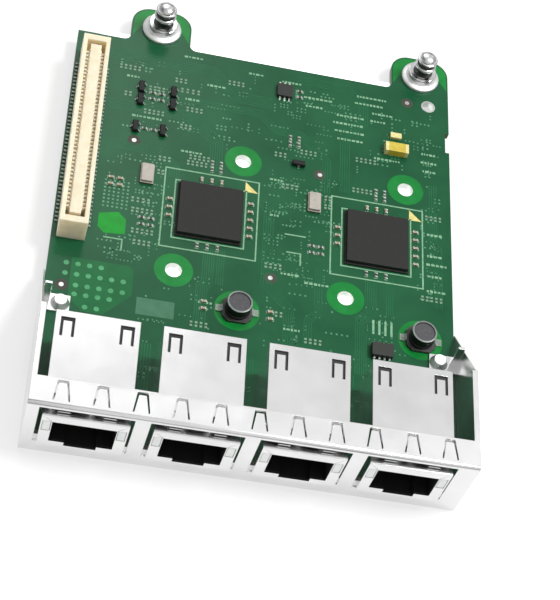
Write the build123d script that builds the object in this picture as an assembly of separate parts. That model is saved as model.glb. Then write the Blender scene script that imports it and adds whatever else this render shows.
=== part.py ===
from build123d import *
import os

os.makedirs("parts", exist_ok=True)

# A mezzanine network card lying component side up: +X runs along the row of ports, +Y to the rear edge with
# the two screw ears, +Z up from the surface that the card rests on. All sizes are in millimetres.
# Driving dimensions of the port sockets
jack_count = 4
jack_pitch = 20.32
jack_width = 16.0
jack_height = 11.7
jack_reach = 21.4
nose_drop = 1.1
nose_length = 3.4
nose_protrusion = 0.9
shield_sheet = 0.3
plug_height = 6.8
plug_depth = 13.0
plug_floor = 1.7
latch_width = 6.0
latch_drop = 1.2
lens_wall = 0.25
lens_width = 1.5
lens_height = 3.3
lens_depth = 5.0
lens_drop = 2.0
spring_tab_width = 2.4
spring_tab_spacing = 8.4
spring_tab_rise = 0.3
lock_tab_width = 2.6
lock_tab_length = 4.2
lock_tab_slit = 0.45
lock_tab_side = 1.1
lock_tab_rear = 1.4
contact_count = 8
contact_pitch = 1.02
contact_width = 0.45
contact_sheet = 0.3
contact_mouth = 2.4
contact_root = 1.8
contact_rear_gap = 1.2
contact_fall = 1.9

# Driving dimensions of the circuit board
left_margin = 2.4
right_margin = 4.24
board_depth = 100.0
board_setback = 2.0
board_thickness = 1.6
ear_width = 13.2
ear_reach = 10.0
ear_corner = 4.2
ear_root = 1.5
left_ear_inset = 17.95
screw_inset = 5.7
notch_depth = 0.9
notch_length = 5.4
notch_rear_inset = 10.6
tooling_hole = 2.6
tooling_side_inset = 4.7
tooling_rear_inset = 3.7

# Driving dimensions of the captive screws
head_height = 2.5
head_diameter = 7.6
recess_depth = 1.2
recess_length = 4.2
recess_width = 0.9
shank_diameter = 4.6
neck_diameter = 4.2
neck_length = 2.0
groove_diameter = 3.4
collar_length = 0.6
thread_diameter = 4.0
thread_length = 2.3
tip_length = 0.3
tip_diameter = 3.4
ring_diameter = 6.3
ring_sheet = 0.5
ring_mouth = 2.6
float_travel = 0.6
bushing_flange = 8.6
bushing_height = 1.4
bushing_wall = 0.45

# Driving dimensions of the face bracket
sheet = 0.5
bend = 0.9
flange_depth = 6.2
finger_count = 11
finger_pitch = 7.3
finger_tip = 2.0
finger_base = 3.2
finger_length = 4.2
finger_slit = 0.3
finger_margin = 0.5
opening_side_gap = 0.7
opening_top_gap = 1.0
opening_bottom_gap = 0.7
wall_top_length = 22.0
wall_foot_margin = 5.6
wall_step_length = 14.0
lip_width = 1.1
foot_gap = 0.3
foot_length = 4.0
foot_reach = 30.4
lug_height = 7.0
lug_width = 1.4
rivet_diameter = 2.0
rivet_head = 3.8
rivet_top = 2.4
rivet_head_height = 1.4
rivet_tail = 3.0
rivet_tail_height = 0.7

# Driving dimensions of the board-to-board connector
blade_pitch = 2.0
blade_width = 0.5
blade_sheet = 0.15
blade_height = 3.6
connector_margin = 3.85
connector_width = 5.7
connector_height = 6.0
connector_inset = 1.05
connector_rear_inset = 6.0
connector_front_gap = 13.8
connector_wall = 0.9
connector_floor = 1.6
connector_end = 1.5
tongue_width = 2.3
tongue_drop = 0.3
tongue_end_gap = 0.9
tail_length = 0.8
tail_sheet = 0.25

# Driving dimensions of the chips and other large parts on the board
chip_size = 13.8
chip_height = 1.4
chip_cap_inset = 0.3
chip_cap_height = 1.0
chip_inset_left = 31.5
chip_inset_right = 16.5
chip_shift = -3.45
sink_hole = 3.4
sink_offset_x = 6.4
sink_offset_y = 15.4
crystal_width = 2.8
crystal_length = 4.9
crystal_height = 1.1
crystal_lid_inset = 0.2
crystal_lid_height = 0.6
crystal_gap = 5.3
crystal_rear = 7.4
inductor_diameter = 5.2
inductor_height = 3.4
inductor_base = 6.0
inductor_corner = 1.2
inductor_base_height = 0.6
inductor_rim = 0.45
inductor_recess = 0.3
inductor_gap = 0.1
inductor_left_shift = 7.7
inductor_right_shift = 5.1
terminal_width = 1.6
terminal_length = 1.4
terminal_sheet = 0.25
memory_length = 4.4
memory_width = 3.0
memory_height = 1.5
memory_gap = 9.6
memory_shift = 3.1
memory_lead_count = 4
regulator_length = 3.4
regulator_width = 3.4
regulator_height = 0.9
regulator_shift = 4.3
regulator_rear_inset = 7.1
regulator_lead_count = 3
lead_pitch = 1.05
lead_width = 0.4
lead_reach = 0.9
lead_sheet = 0.2
tantalum_length = 5.2
tantalum_width = 2.5
tantalum_height = 1.7
tantalum_end = 0.8
tantalum_side_inset = 12.3
tantalum_rear_inset = 18.3
bead_length = 2.5
bead_width = 1.4
bead_height = 0.7
bead_gap = 2.2

# Driving dimensions and places of the small parts on the board
small_length = 1.1
small_width = 0.6
capacitor_height = 0.55
resistor_height = 0.35
field_pitch_x = 1.9
field_pitch_y = 1.7
ring_pitch = 2.1
ring_gap = 1.55
ring_right_count = 5
ring_left_count = 3
ring_rear_count = 3
ring_front_count = 3
side_field_grid = (2, 2)
side_field_gap = 6.0
side_field_front = 4.6
rear_field_grid = (2, 2)
rear_field_gap = 5.6
sink_field_side = 5.6
transistor_length = 2.9
transistor_width = 1.3
transistor_height = 1.0
transistor_lead = 0.5
transistor_leg_pitch = 1.9
transistor_row_pitch = 3.5
cluster_side = 18.35
cluster_rear_inset = 15.0
cluster_columns = 6.95
cluster_grid = (2, 2)
second_cluster_side = 17.3
second_cluster_rear_inset = 24.3
second_cluster_columns = 5.8
second_cluster_grid = (2, 1)
lone_transistor_shift = 8.0
lone_transistor_rear_inset = 26.7
connector_field_grid = (2, 2)
connector_field_gap = 4.8
connector_field_rear_inset = 39.5
regulator_field_grid = (1, 2)
middle_field_grid = (2, 2)
middle_field_shift = 7.0
middle_field_rear_inset = 20.6
inductor_field_grid = (1, 2)
inductor_field_gap = 3.8
socket_field_grid = (2, 2)
socket_field_gap = 3.0
joint_base = 1.3
joint_tip = 0.6
joint_height = 1.0
joint_row_inset = 5.0
joint_row_gap = 2.54
post_base = 1.9
post_tip = 1.2
under_grid = (2, 2)
under_pitch = 3.2

# Clearances
fit_gap = 0.05
running_gap = 0.05
side_gap = 0.1
flange_gap = 0.3

# Places worked out from the driving dimensions
plug_width = jack_width - 2 * (shield_sheet + fit_gap + lens_width + lens_wall)
board_width = left_margin + (jack_count - 1) * jack_pitch + jack_width + right_margin
board_left = -board_width / 2
board_right = board_width / 2
overall_depth = nose_protrusion + board_setback + board_depth + ear_reach
front_y = -overall_depth / 2 + nose_protrusion
board_front = front_y + board_setback
board_rear = board_front + board_depth
board_bottom = head_height + running_gap
board_top = board_bottom + board_thickness
jack_axes = [board_left + left_margin + jack_width / 2 + i * jack_pitch for i in range(jack_count)]
jack_front = front_y - nose_protrusion
jack_rear = front_y + jack_reach
jack_top = board_top + jack_height
nose_top = jack_top - nose_drop
step_y = front_y + nose_length
flange_bottom = jack_top + flange_gap
flange_top = flange_bottom + sheet
wall_inside = board_width / 2 + side_gap
wall_outside = wall_inside + sheet
foot_width = rivet_head + foot_gap + lug_width + sheet
rivet_x = wall_outside - foot_width + rivet_head / 2
rivet_y = front_y + foot_reach
foot_rear = rivet_y + foot_length / 2
wall_end = foot_rear + wall_foot_margin
screw_y = board_rear + ear_reach - screw_inset
screw_axes = [(board_left + left_ear_inset, screw_y), (board_right - ear_width / 2, screw_y)]
bore_diameter = shank_diameter + 2 * running_gap
barrel_diameter = bore_diameter + 2 * bushing_wall
chip_y = (jack_rear + board_rear) / 2 + chip_shift
chip_axes = [(board_left + chip_inset_left, chip_y), (board_right - chip_inset_right, chip_y)]
sides = ("left", "right")


def block(x, y, z, length, width, height):
    """A block centred on x and y that stands on z."""
    return Pos(x, y, z) * Box(length, width, height, align=(Align.CENTER, Align.CENTER, Align.MIN))


def span(x0, x1, y0, y1, z0, z1):
    """A block between two corners."""
    return Pos(x0, y0, z0) * Box(x1 - x0, y1 - y0, z1 - z0, align=(Align.MIN, Align.MIN, Align.MIN))


def turned(outline):
    """A solid turned about the Z axis from radius and height pairs."""
    return revolve(make_face(Polyline(*[(r, 0, z) for r, z in outline], close=True)), Axis.Z)


def along_x(outline, x0, x1):
    """A side outline of y and z pairs, run from x0 to x1."""
    side = make_face(Polyline(*[(x0, y, z) for y, z in outline], close=True))
    return extrude(side, amount=x1 - x0, dir=(1, 0, 0))


def upright(outline, z0, z1):
    """A plan outline of x and y pairs, raised from z0 to z1."""
    plan = make_face(Polyline(*[(x, y, z0) for x, y in outline], close=True))
    return extrude(plan, amount=z1 - z0, dir=(0, 0, 1))


def spread(middle, count, pitch):
    """Evenly spaced places about a middle."""
    return [middle + (i - (count - 1) / 2) * pitch for i in range(count)]


def save(node, solids):
    """Writes one node's solids to its own file."""
    if isinstance(solids, list):
        solids = Compound(children=solids)
    export_step(solids, f"parts/{node}.step")


# Circuit board: a glass-fibre plate with two screw ears on its rear edge, routed as one outline
board_plan = Pos(0, (board_front + board_rear) / 2) * Rectangle(board_width, board_depth)
for axis_x, axis_y in screw_axes:
    ear_middle = board_rear + ear_reach / 2 - ear_corner
    ear = Pos(axis_x, ear_middle) * Rectangle(ear_width, ear_reach + 2 * ear_corner)
    board_plan += fillet(ear.vertices().group_by(Axis.Y)[-1], ear_corner)
rear_corners = [v for v in board_plan.vertices() if abs(v.Y - board_rear) < fit_gap]
board_plan = fillet([v for v in rear_corners if abs(v.X) < board_right - fit_gap], ear_root)
notch_y = board_rear - notch_rear_inset - notch_length / 2
board_plan -= Pos(board_right, notch_y) * Rectangle(2 * notch_depth, notch_length)
tooling_place = Pos(board_right - tooling_side_inset, board_rear - tooling_rear_inset)
board_plan -= tooling_place * Circle(tooling_hole / 2)
for axis_x, axis_y in screw_axes:
    board_plan -= Pos(axis_x, axis_y) * Circle(barrel_diameter / 2 + fit_gap)
for side in (-1, 1):
    board_plan -= Pos(side * rivet_x, rivet_y) * Circle(rivet_diameter / 2 + fit_gap)
    for axis_x, axis_y in chip_axes:
        sink_place = Pos(axis_x + side * sink_offset_x, axis_y + side * sink_offset_y)
        board_plan -= sink_place * Circle(sink_hole / 2)
save("circuit_board", Pos(0, 0, board_bottom) * extrude(board_plan, board_thickness))

# Face bracket: one folded sheet with a front plate, a top flange, two side walls and two feet
flange_rear = front_y + flange_depth
fold_outline = [(front_y, 0), (front_y, flange_top), (flange_rear, flange_top), (flange_rear, flange_bottom),
                (front_y + sheet, flange_bottom), (front_y + sheet, 0)]
bracket = along_x(fold_outline, -wall_outside, wall_outside)
bracket = fillet(bracket.edges().filter_by(Axis.X).group_by(Axis.Z)[-1].group_by(Axis.Y)[0], bend)
wall_outline = [(front_y + sheet, 0), (front_y + wall_step_length, 0),
                (front_y + wall_step_length + board_bottom, board_bottom),
                (wall_end, board_bottom), (wall_end, board_top),
                (front_y + wall_top_length, flange_top), (front_y + bend, flange_top),
                (front_y + sheet, flange_top - bend)]
side_wall = along_x(wall_outline, wall_inside, wall_outside)
side_wall += span(wall_outside - lip_width, wall_outside, flange_rear, front_y + wall_top_length,
                  flange_bottom, flange_top)
side_wall += span(wall_outside - foot_width, wall_outside, foot_rear - foot_length, foot_rear,
                  board_top, board_top + sheet)
side_wall += span(wall_inside - lug_width, wall_inside, rivet_y - sheet / 2, rivet_y + sheet / 2,
                  board_top, board_top + lug_height)
side_wall -= Pos(rivet_x, rivet_y, board_top) * Cylinder(rivet_diameter / 2 + fit_gap, 2 * sheet)
bracket += side_wall
bracket += mirror(side_wall, Plane.YZ)
opening_half = jack_width / 2 + opening_side_gap
for axis_x in jack_axes:
    bracket -= span(axis_x - opening_half, axis_x + opening_half, front_y, front_y + sheet,
                    board_top - opening_bottom_gap, nose_top + opening_top_gap)
finger_rear = flange_rear - finger_margin
finger_front = finger_rear - finger_length
for axis_x in spread(0, finger_count, finger_pitch):
    outer = [(axis_x - finger_base / 2, finger_front), (axis_x + finger_base / 2, finger_front),
             (axis_x + finger_tip / 2, finger_rear), (axis_x - finger_tip / 2, finger_rear)]
    inner = [(axis_x - finger_base / 2 + finger_slit, finger_front),
             (axis_x + finger_base / 2 - finger_slit, finger_front),
             (axis_x + finger_tip / 2 - finger_slit, finger_rear - 2 * finger_slit),
             (axis_x - finger_tip / 2 + finger_slit, finger_rear - 2 * finger_slit)]
    bracket -= upright(outer, flange_bottom, flange_top) - upright(inner, flange_bottom, flange_top)
save("face_bracket", bracket)

# Rivets: turned round heads on the bracket's feet, with the shank spread under the board
rivet_seat = board_top + sheet
rivet_outline = [(0, board_bottom - rivet_tail_height), (rivet_tail / 2, board_bottom),
                 (rivet_diameter / 2, board_bottom), (rivet_diameter / 2, rivet_seat),
                 (rivet_head / 2, rivet_seat), (rivet_top / 2, rivet_seat + rivet_head_height),
                 (0, rivet_seat + rivet_head_height)]
save("bracket_rivets", [Pos(side * rivet_x, rivet_y, 0) * turned(rivet_outline) for side in (-1, 1)])

# Port sockets: a folded shield over a moulded housing, with contact springs and two lamp lenses
inside_front = jack_front + shield_sheet
inside_half = jack_width / 2 - shield_sheet
housing_half = inside_half - fit_gap


def socket_outline(inset):
    """Side outline of a socket, moved in from the shield's outer faces."""
    return [(jack_front + inset, board_top), (jack_front + inset, nose_top - inset),
            (step_y + inset, nose_top - inset), (step_y + inset, jack_top - inset),
            (jack_rear - inset, jack_top - inset), (jack_rear - inset, board_top)]


plug_bottom = board_top + plug_floor
plug_top = plug_bottom + plug_height
plug_rear = inside_front + plug_depth
lens_top = nose_top - lens_drop
lens_bottom = lens_top - lens_height
lens_inner = plug_width / 2 + lens_wall
lens_rear = jack_front + lens_depth
lock_rear = jack_rear - lock_tab_rear
lock_front = lock_rear - lock_tab_length
tab_outline = [(step_y, jack_top - spring_tab_rise), (step_y, jack_top - spring_tab_rise - shield_sheet),
               (front_y - fit_gap, nose_top + spring_tab_rise),
               (front_y - fit_gap, nose_top + spring_tab_rise + shield_sheet)]
contact_front = jack_front + contact_mouth
contact_bend = contact_front + contact_root
contact_end = plug_rear - contact_rear_gap
contact_low = plug_top - contact_fall
contact_outline = [(contact_front, plug_top), (contact_bend, plug_top), (contact_end, contact_low),
                   (contact_end, contact_low - contact_sheet), (contact_bend, plug_top - contact_sheet),
                   (contact_front, plug_top - contact_sheet)]
lenses = []
for number, axis_x in enumerate(jack_axes, start=1):
    shield = along_x(socket_outline(0), axis_x - jack_width / 2, axis_x + jack_width / 2)
    shield -= along_x(socket_outline(shield_sheet), axis_x - inside_half, axis_x + inside_half)
    housing_outline = socket_outline(shield_sheet + fit_gap)
    housing = along_x(housing_outline, axis_x - housing_half, axis_x + housing_half)
    mouth = span(axis_x - plug_width / 2, axis_x + plug_width / 2, jack_front, plug_rear,
                 plug_bottom, plug_top)
    mouth += span(axis_x - latch_width / 2, axis_x + latch_width / 2, jack_front, plug_rear,
                  plug_bottom - latch_drop, plug_bottom)
    shield -= mouth
    housing -= mouth
    for side in (-1, 1):
        lens_x = sorted((axis_x + side * lens_inner, axis_x + side * housing_half))
        lenses.append(span(*lens_x, jack_front, lens_rear, lens_bottom, lens_top))
        pocket = span(lens_x[0] - fit_gap, lens_x[1] + fit_gap, jack_front, lens_rear + fit_gap,
                      lens_bottom - fit_gap, lens_top + fit_gap)
        shield -= pocket
        housing -= pocket
        tab_x = axis_x + side * spring_tab_spacing / 2
        shield += along_x(tab_outline, tab_x - spring_tab_width / 2, tab_x + spring_tab_width / 2)
        lock_x = axis_x + side * (jack_width / 2 - lock_tab_side - lock_tab_width / 2)
        tongue_half = lock_tab_width / 2 - lock_tab_slit
        slit = span(lock_x - lock_tab_width / 2, lock_x + lock_tab_width / 2, lock_front, lock_rear,
                    jack_top - shield_sheet, jack_top)
        slit -= span(lock_x - tongue_half, lock_x + tongue_half, lock_front, lock_rear - 2 * lock_tab_slit,
                     jack_top - shield_sheet, jack_top)
        shield -= slit
    springs = [along_x(contact_outline, spring_x - contact_width / 2, spring_x + contact_width / 2)
               for spring_x in spread(axis_x, contact_count, contact_pitch)]
    save(f"socket_shield_{number}", shield)
    save(f"socket_housing_{number}", housing)
    save(f"socket_contacts_{number}", springs)
save("lamp_lenses", lenses)

# Board-to-board connector: a moulded trough with blades on its middle tongue and solder tails outside
connector_rear = board_rear - connector_rear_inset
connector_room = connector_rear - foot_rear - connector_front_gap
blade_count = int((connector_room - 2 * connector_margin) / blade_pitch) + 1
connector_length = (blade_count - 1) * blade_pitch + 2 * connector_margin
connector_x = board_left + connector_inset + connector_width / 2
connector_y = connector_rear - connector_length / 2
trough_bottom = board_top + connector_floor
trough_height = connector_height - connector_floor
trough_length = connector_length - 2 * connector_end
connector = block(connector_x, connector_y, board_top, connector_width, connector_length, connector_height)
connector -= block(connector_x, connector_y, trough_bottom,
                   connector_width - 2 * connector_wall, trough_length, trough_height)
connector += block(connector_x, connector_y, trough_bottom,
                   tongue_width, trough_length - 2 * tongue_end_gap, trough_height - tongue_drop)
save("connector_housing", connector)
blades = []
for blade_y in spread(connector_y, blade_count, blade_pitch):
    for side in (-1, 1):
        blade_x = connector_x + side * (tongue_width + blade_sheet) / 2
        tail_x = connector_x + side * (connector_width + tail_length) / 2
        blades.append(block(blade_x, blade_y, trough_bottom, blade_sheet, blade_width, blade_height))
        blades.append(block(tail_x, blade_y, board_top, tail_length, blade_width, tail_sheet))
save("connector_contacts", blades)


def stepped(x, y, length, width, height, cap_inset, cap_height):
    """A flat package on the board: a base with a smaller cap on it."""
    base = block(x, y, board_top, length, width, height - cap_height)
    cap_bottom = board_top + height - cap_height
    return base + block(x, y, cap_bottom, length - 2 * cap_inset, width - 2 * cap_inset, cap_height)


# Controller chips and crystals: a substrate with a moulded cap, and a ceramic base with a metal lid
for name, (axis_x, axis_y) in zip(sides, chip_axes):
    save(f"controller_chip_{name}",
         stepped(axis_x, axis_y, chip_size, chip_size, chip_height, chip_cap_inset, chip_cap_height))
    crystal_x = axis_x - chip_size / 2 - crystal_gap - crystal_width / 2
    save(f"crystal_{name}",
         stepped(crystal_x, axis_y + crystal_rear, crystal_width, crystal_length, crystal_height,
                 crystal_lid_inset, crystal_lid_height))

# Power inductors: a base plate with cut corners, a drum core with a raised rim, two bent terminals
inductor_y = foot_rear + inductor_gap + inductor_base / 2
inductor_axes = [jack_axes[1] + inductor_left_shift, jack_axes[3] + inductor_right_shift]
core_radius = inductor_diameter / 2
core_height = inductor_height - inductor_base_height
dish_radius = core_radius - inductor_rim
dish_height = core_height - inductor_recess
core_outline = [(0, 0), (core_radius, 0), (core_radius, core_height), (dish_radius, core_height),
                (dish_radius, dish_height), (0, dish_height)]
for name, axis_x in zip(sides, inductor_axes):
    plate = block(axis_x, inductor_y, board_top, inductor_base, inductor_base, inductor_base_height)
    save(f"inductor_base_{name}", chamfer(plate.edges().filter_by(Axis.Z), inductor_corner))
    core_place = Pos(axis_x, inductor_y, board_top + inductor_base_height)
    save(f"inductor_core_{name}", core_place * turned(core_outline))
    strips = []
    for side in (-1, 1):
        upright_x = axis_x + side * (inductor_base + terminal_sheet) / 2
        flat_x = axis_x + side * (inductor_base + terminal_length) / 2
        strip = block(upright_x, inductor_y, board_top, terminal_sheet, terminal_width, inductor_base_height)
        strip += block(flat_x, inductor_y, board_top, terminal_length, terminal_width, terminal_sheet)
        strips.append(strip)
    save(f"inductor_terminals_{name}", strips)


def leaded_chip(name, x, y, length, width, height, leads):
    """A moulded chip body with bent leads along its front and rear sides."""
    save(f"{name}_chip", block(x, y, board_top + lead_sheet, length, width, height - lead_sheet))
    knee = width / 2 + lead_reach / 2
    toe = width / 2 + lead_reach
    shoulder = height / 2
    inner_knee = knee - lead_sheet
    bent = [(width / 2, shoulder), (knee, shoulder), (knee, lead_sheet), (toe, lead_sheet), (toe, 0),
            (inner_knee, 0), (inner_knee, shoulder - lead_sheet), (width / 2, shoulder - lead_sheet)]
    strips = []
    for lead_x in spread(x, leads, lead_pitch):
        for side in (-1, 1):
            outline = [(y + side * reach, board_top + rise) for reach, rise in bent]
            strips.append(along_x(outline, lead_x - lead_width / 2, lead_x + lead_width / 2))
    save(f"{name}_leads", strips)


# Memory chip behind the right socket and regulator chip near the rear edge
leaded_chip("memory", jack_axes[3] - memory_shift, jack_rear + memory_gap, memory_length, memory_width,
            memory_height, memory_lead_count)
regulator_y = board_rear - regulator_rear_inset
leaded_chip("regulator", regulator_shift, regulator_y, regulator_length, regulator_width, regulator_height,
            regulator_lead_count)

# Tantalum capacitor: a moulded block between two metal ends, with a ferrite bead behind it
tantalum_x = board_right - tantalum_side_inset
tantalum_y = board_rear - tantalum_rear_inset
save("tantalum_body", block(tantalum_x, tantalum_y, board_top,
                            tantalum_length - 2 * tantalum_end, tantalum_width, tantalum_height))
save("tantalum_ends", [block(tantalum_x + side * (tantalum_length - tantalum_end) / 2, tantalum_y, board_top,
                             tantalum_end, tantalum_width, tantalum_height) for side in (-1, 1)])
bead_y = tantalum_y + (tantalum_width + bead_width) / 2 + bead_gap
save("ferrite_bead", block(tantalum_x, bead_y, board_top, bead_length, bead_width, bead_height))

# Small parts: fields of ceramic capacitors and chip resistors about the chips, connector and inductors
capacitors = []
resistors = []


def field(parts, height, x, y, grid, turn=False):
    """Adds a field of like small parts about a middle point; turned parts lie along Y."""
    size = (small_width, small_length) if turn else (small_length, small_width)
    for part_x in spread(x, grid[0], field_pitch_x):
        for part_y in spread(y, grid[1], field_pitch_y):
            parts.append(block(part_x, part_y, board_top, *size, height))


ring_reach = chip_size / 2 + ring_gap
for axis_x, axis_y in chip_axes:
    for place in spread(axis_y, ring_right_count, ring_pitch):
        capacitors.append(block(axis_x + ring_reach, place, board_top,
                                small_length, small_width, capacitor_height))
    for place in spread(axis_y, ring_left_count, ring_pitch):
        capacitors.append(block(axis_x - ring_reach, place, board_top,
                                small_length, small_width, capacitor_height))
    for place in spread(axis_x, ring_rear_count, ring_pitch):
        capacitors.append(block(place, axis_y + ring_reach, board_top,
                                small_width, small_length, capacitor_height))
    for place in spread(axis_x, ring_front_count, ring_pitch):
        resistors.append(block(place, axis_y - ring_reach, board_top,
                               small_width, small_length, resistor_height))
    field(resistors, resistor_height, axis_x - chip_size / 2 - side_field_gap, axis_y - side_field_front,
          side_field_grid)
    field(resistors, resistor_height, axis_x + sink_offset_x - sink_field_side,
          axis_y + chip_size / 2 + rear_field_gap, rear_field_grid, turn=True)
cluster_x = board_left + cluster_side
cluster_y = board_rear - cluster_rear_inset
second_x = board_left + second_cluster_side
second_y = board_rear - second_cluster_rear_inset
field(resistors, resistor_height, cluster_x, cluster_y, cluster_grid)
field(resistors, resistor_height, second_x, second_y, second_cluster_grid)
field(capacitors, capacitor_height, board_left + connector_inset + connector_width + connector_field_gap,
      board_rear - connector_field_rear_inset, connector_field_grid)
field(resistors, resistor_height, regulator_shift + regulator_length, regulator_y, regulator_field_grid)
field(resistors, resistor_height, middle_field_shift, board_rear - middle_field_rear_inset,
      middle_field_grid, turn=True)
for side in (-1, 1):
    field(capacitors, capacitor_height, inductor_axes[0] + side * (inductor_base / 2 + inductor_field_gap),
          inductor_y, inductor_field_grid)
field(resistors, resistor_height, jack_axes[2] + jack_width / 4, jack_rear + socket_field_gap,
      socket_field_grid)
save("ceramic_capacitors", capacitors)
save("chip_resistors", resistors)

# Three-legged transistors: moulded bodies along Y with two legs on the right and one on the left
leg_x = (transistor_width + transistor_lead) / 2
transistor = block(0, 0, board_top, transistor_width, transistor_length, transistor_height)
transistor += block(-leg_x, 0, board_top, transistor_lead, lead_width, lead_sheet)
for leg_y in spread(0, 2, transistor_leg_pitch):
    transistor += block(leg_x, leg_y, board_top, transistor_lead, lead_width, lead_sheet)
transistors = [Pos(lone_transistor_shift, board_rear - lone_transistor_rear_inset) * Rot(Z=90) * transistor]
for axis_x in spread(cluster_x, 2, cluster_columns):
    for axis_y in spread(cluster_y, 2, transistor_row_pitch):
        transistors.append(Pos(axis_x, axis_y) * transistor)
for axis_x in spread(second_x, 2, second_cluster_columns):
    transistors.append(Pos(axis_x, second_y) * transistor)
save("small_transistors", transistors)


def tapered(base, tip):
    """A four-sided solder joint that narrows from the board's underside down to its tip."""
    low = (base - tip) / 2
    high = (base + tip) / 2
    seat = (Align.CENTER, Align.MIN, Align.CENTER)
    return Rot(X=-90) * Wedge(base, joint_height, base, low, low, high, high, align=seat)


# Underside: tapered solder joints of the sockets' pins, and small capacitors under the controller chips
joint_pin = tapered(joint_base, joint_tip)
joint_post = tapered(post_base, post_tip)
joints = []
for axis_x in jack_axes:
    for i, pin_x in enumerate(spread(axis_x, contact_count, contact_pitch)):
        pin_y = jack_rear - joint_row_inset - joint_row_gap * (i % 2)
        joints.append(Pos(pin_x, pin_y, board_bottom) * joint_pin)
    for post_x in spread(axis_x, 2, jack_width - post_base):
        joints.append(Pos(post_x, jack_rear - jack_reach / 2, board_bottom) * joint_post)
save("solder_joints", joints)
under_bottom = board_bottom - capacitor_height
save("underside_capacitors", [block(part_x, part_y, under_bottom, small_length, small_width, capacitor_height)
                              for axis_x, axis_y in chip_axes
                              for part_x in spread(axis_x, under_grid[0], under_pitch)
                              for part_y in spread(axis_y, under_grid[1], under_pitch)])

# Captive screws: a flanged bushing pressed into each ear, a screw headed under the board, an open ring
ring_bottom = board_top + bushing_height + float_travel + running_gap
groove_bottom = ring_bottom - running_gap
groove_top = ring_bottom + ring_sheet + running_gap
neck_top = groove_top + neck_length
collar_middle = neck_top + collar_length / 2
collar_top = neck_top + collar_length
thread_top = collar_top + thread_length
tip_top = thread_top + tip_length
bushing_outline = [(bore_diameter / 2, board_bottom), (barrel_diameter / 2, board_bottom),
                   (barrel_diameter / 2, board_top), (bushing_flange / 2, board_top),
                   (bushing_flange / 2, board_top + bushing_height),
                   (bore_diameter / 2, board_top + bushing_height)]
screw_outline = [(0, 0), (head_diameter / 2, 0), (head_diameter / 2, head_height),
                 (shank_diameter / 2, head_height), (shank_diameter / 2, groove_bottom),
                 (groove_diameter / 2, groove_bottom), (groove_diameter / 2, groove_top),
                 (neck_diameter / 2, groove_top), (neck_diameter / 2, neck_top),
                 (shank_diameter / 2, collar_middle), (thread_diameter / 2, collar_top),
                 (thread_diameter / 2, thread_top), (tip_diameter / 2, tip_top), (0, tip_top)]
ring_plan = Circle(ring_diameter / 2) - Circle(groove_diameter / 2 + running_gap)
ring_plan -= Pos(0, -ring_diameter / 2) * Rectangle(ring_mouth, ring_diameter)
recess = block(0, 0, 0, recess_length, recess_width, recess_depth)
recess += block(0, 0, 0, recess_width, recess_length, recess_depth)
for name, (axis_x, axis_y) in zip(sides, screw_axes):
    save(f"screw_bushing_{name}", Pos(axis_x, axis_y, 0) * turned(bushing_outline))
    save(f"captive_screw_{name}", Pos(axis_x, axis_y, 0) * (turned(screw_outline) - recess))
    save(f"retaining_ring_{name}", Pos(axis_x, axis_y, ring_bottom) * extrude(ring_plan, ring_sheet))
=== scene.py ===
import math
import random
import bmesh
import bpy
from mathutils import Matrix, Vector
from mathutils.geometry import intersect_point_line


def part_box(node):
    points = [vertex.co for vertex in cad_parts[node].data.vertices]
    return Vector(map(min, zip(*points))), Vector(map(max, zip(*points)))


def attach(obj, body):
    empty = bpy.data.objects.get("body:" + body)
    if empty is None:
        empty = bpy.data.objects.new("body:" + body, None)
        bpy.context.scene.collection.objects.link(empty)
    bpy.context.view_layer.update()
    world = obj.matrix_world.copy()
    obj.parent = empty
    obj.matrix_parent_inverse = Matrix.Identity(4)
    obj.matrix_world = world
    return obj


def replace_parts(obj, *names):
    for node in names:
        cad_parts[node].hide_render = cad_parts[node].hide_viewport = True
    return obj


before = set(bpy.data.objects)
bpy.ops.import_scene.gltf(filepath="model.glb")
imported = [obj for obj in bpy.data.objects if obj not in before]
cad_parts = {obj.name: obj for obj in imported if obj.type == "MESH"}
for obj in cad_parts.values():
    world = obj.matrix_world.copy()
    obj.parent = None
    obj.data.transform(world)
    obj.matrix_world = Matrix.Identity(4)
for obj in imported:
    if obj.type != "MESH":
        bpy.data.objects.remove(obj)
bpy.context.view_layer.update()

# Circuit board: a plate of glass fibre and resin, routed to shape, drilled and sprayed with green mask.
# The mask is a little uneven in tone and gloss. Along the routed edge the bare laminate shows.
MM = 0.001
board_low, board_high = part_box("circuit_board")
left_edge = board_low.x
belly = board_low.z
deck = board_high.z
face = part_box("face_bracket")[0].y
noise_detail = 5.0
dark_share, light_share = 0.3, 0.7
upright_limit = 0.5
weld_gap = 0.0005
broken_angle = 40


def tint(red, green, blue):
    """A colour given in display values from 0 to 255, as the linear colour that a shader takes."""
    shares = [value / 255 for value in (red, green, blue)]
    linear = [((share + 0.055) / 1.055) ** 2.4 if share > 0.04045 else share / 12.92 for share in shares]
    return (*linear, 1.0)


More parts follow.
